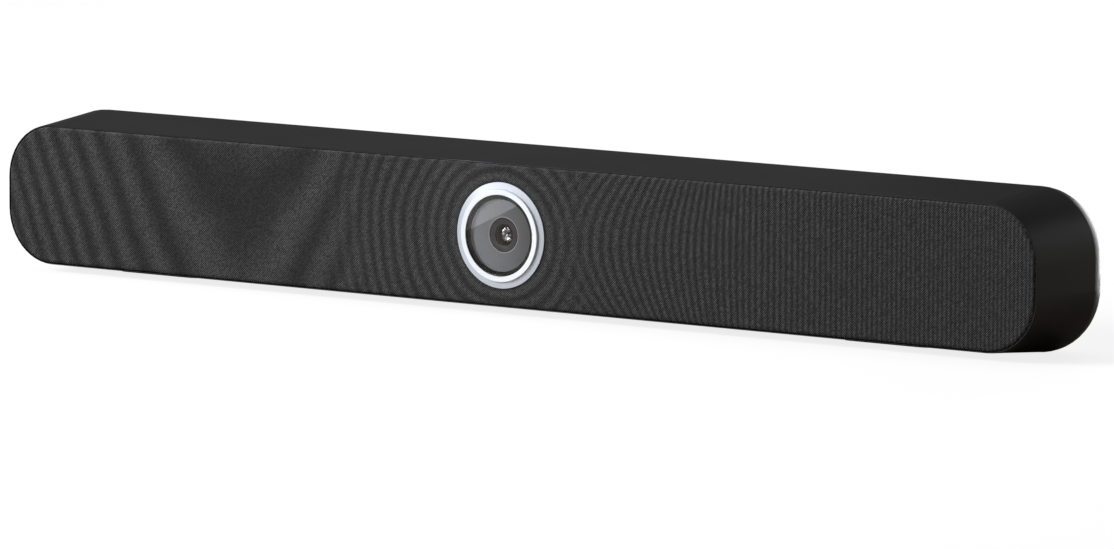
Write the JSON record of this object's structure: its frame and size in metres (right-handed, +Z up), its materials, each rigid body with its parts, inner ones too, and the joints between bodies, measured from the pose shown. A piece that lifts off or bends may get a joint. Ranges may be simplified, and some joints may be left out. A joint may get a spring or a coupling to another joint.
{
  "type": "conference camera",
  "caption": "Long low video bar with a cloth front, a camera in a double metal ring at its middle, a flared black housing, built-in loudspeakers, and sockets in its rear.",
  "frame": {"origin": "centre of the four bracket holes, on the flat rear face", "axes": "+X along the bar to the right as seen from the front, +Y to the rear, +Z up"},
  "size_m": [0.6, 0.0601, 0.076],
  "materials": {
    "housing": "satin black powder coat",
    "cover": "fine satin",
    "panel": "fine matt",
    "steel": "plated",
    "dark_screw": "black oxide",
    "screw_steel": "zinc plated",
    "brass_insert": "turned",
    "brass_can": "plated",
    "pad_rubber": "matt",
    "grille": "matt",
    "cloth": "fine twill, dark grey and black yarns",
    "inner_plastic": "moulded",
    "satin_ring": "satin",
    "bright_ring": "polished",
    "clear_glass": "clear, coated",
    "border_ink": "printed film",
    "dish": "satin grey",
    "barrel": "satin black",
    "lens_glass": "coated",
    "filter_glass": "coated",
    "sensor": "gloss",
    "board": "solder mask",
    "cast_metal": "die cast",
    "flex": "film",
    "basket": "black paint",
    "soft_black": "matt",
    "spider": "resin-dipped cloth",
    "magnet": "sintered",
    "cone": "matt",
    "dust_cap": "satin",
    "coil": "lacquered wire",
    "chip": "moulded",
    "thermal": "soft",
    "sink": "extruded",
    "connector_black": "moulded",
    "socket_metal": "nickel plated",
    "button": "satin",
    "pale_plastic": "moulded",
    "light": "clear light guide"
  },
  "bodies": {
    "bar": {"shell_sleeve": "housing", "rear_cover": "cover", "port_panel": "panel", "lock_plate": "steel", "cover_screws": "dark_screw", "bracket_inserts": "brass_insert", "rest_pads": "pad_rubber", "grille_carrier": "grille", "grille_cloth": "cloth", "front_baffle": "inner_plastic", "inner_screws": "screw_steel", "bezel_ring": "satin_ring", "trim_ring": "bright_ring", "cover_glass": "clear_glass", "glass_border": "border_ink", "camera_dish": "dish", "lens_barrel": "barrel", "front_lens": "lens_glass", "middle_lens": "lens_glass", "rear_lens": "lens_glass", "infrared_filter": "filter_glass", "lens_mount": "barrel", "image_sensor": "sensor", "camera_board": "board", "camera_carrier": "cast_metal", "camera_flex": "flex", "speaker_baskets": "basket", "speaker_gaskets": "soft_black", "speaker_surrounds": "soft_black", "speaker_spiders": "spider", "speaker_top_plates": "steel", "speaker_magnets": "magnet", "speaker_yokes": "steel", "speaker_chambers": "inner_plastic", "microphones": "brass_can", "microphone_boards": "board", "microphone_seals": "soft_black", "main_board": "board", "processor": "chip", "thermal_pad": "thermal", "heat_sink": "sink", "wireless_antennas": "flex", "power_jack": "connector_black", "display_socket": "socket_metal", "usb_c_socket": "socket_metal", "usb_a_socket": "socket_metal", "network_socket": "connector_black", "power_switch": "connector_black", "side_board": "board", "status_light": "light"},
    "button": {"power_button": "button", "switch_plunger": "pale_plastic"},
    "left_speaker_cone": {"left_cone": "cone", "left_dust_cap": "dust_cap", "left_voice_coil": "coil"},
    "right_speaker_cone": {"right_cone": "cone", "right_dust_cap": "dust_cap", "right_voice_coil": "coil"}
  },
  "joints": [
    {"name": "power_button_press", "type": "slide", "parent": "bar", "child": "button", "axis": [-1, 0, 0], "range_m": [0, 0.0006], "stiffness_N_per_m": 2500},
    {"name": "left_cone_stroke", "type": "slide", "parent": "bar", "child": "left_speaker_cone", "axis": [0, -1, 0], "range_m": [-0.0015, 0.0015], "stiffness_N_per_m": 400},
    {"name": "right_cone_stroke", "type": "slide", "parent": "bar", "child": "right_speaker_cone", "axis": [0, -1, 0], "range_m": [-0.0015, 0.0015], "stiffness_N_per_m": 400}
  ]
}
